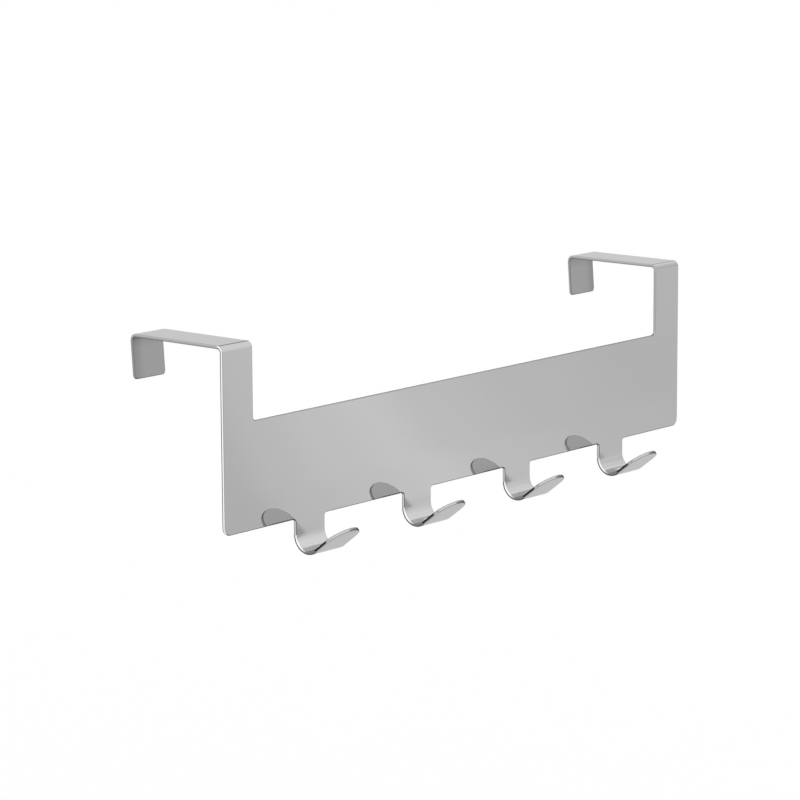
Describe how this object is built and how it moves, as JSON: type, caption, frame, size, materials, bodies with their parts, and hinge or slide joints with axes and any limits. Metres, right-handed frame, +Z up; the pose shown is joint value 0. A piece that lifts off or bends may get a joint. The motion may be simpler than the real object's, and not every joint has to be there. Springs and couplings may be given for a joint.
{
  "type": "over door hook",
  "caption": "Hook rail folded from one polished steel sheet: a flat band with end brackets that hang over a door's top edge, and tongue hooks folded up along its lower edge.",
  "frame": {"origin": "centre of the band's back face, which lies against the door", "axes": "+X along the band, +Y from the room into the door, +Z up"},
  "size_m": [0.27, 0.0658, 0.0806],
  "materials": {
    "polished_steel": "polished stainless steel with rounded, deburred edges"
  },
  "bodies": {
    "root": {"hook_rail": "polished_steel"}
  },
  "joints": []
}
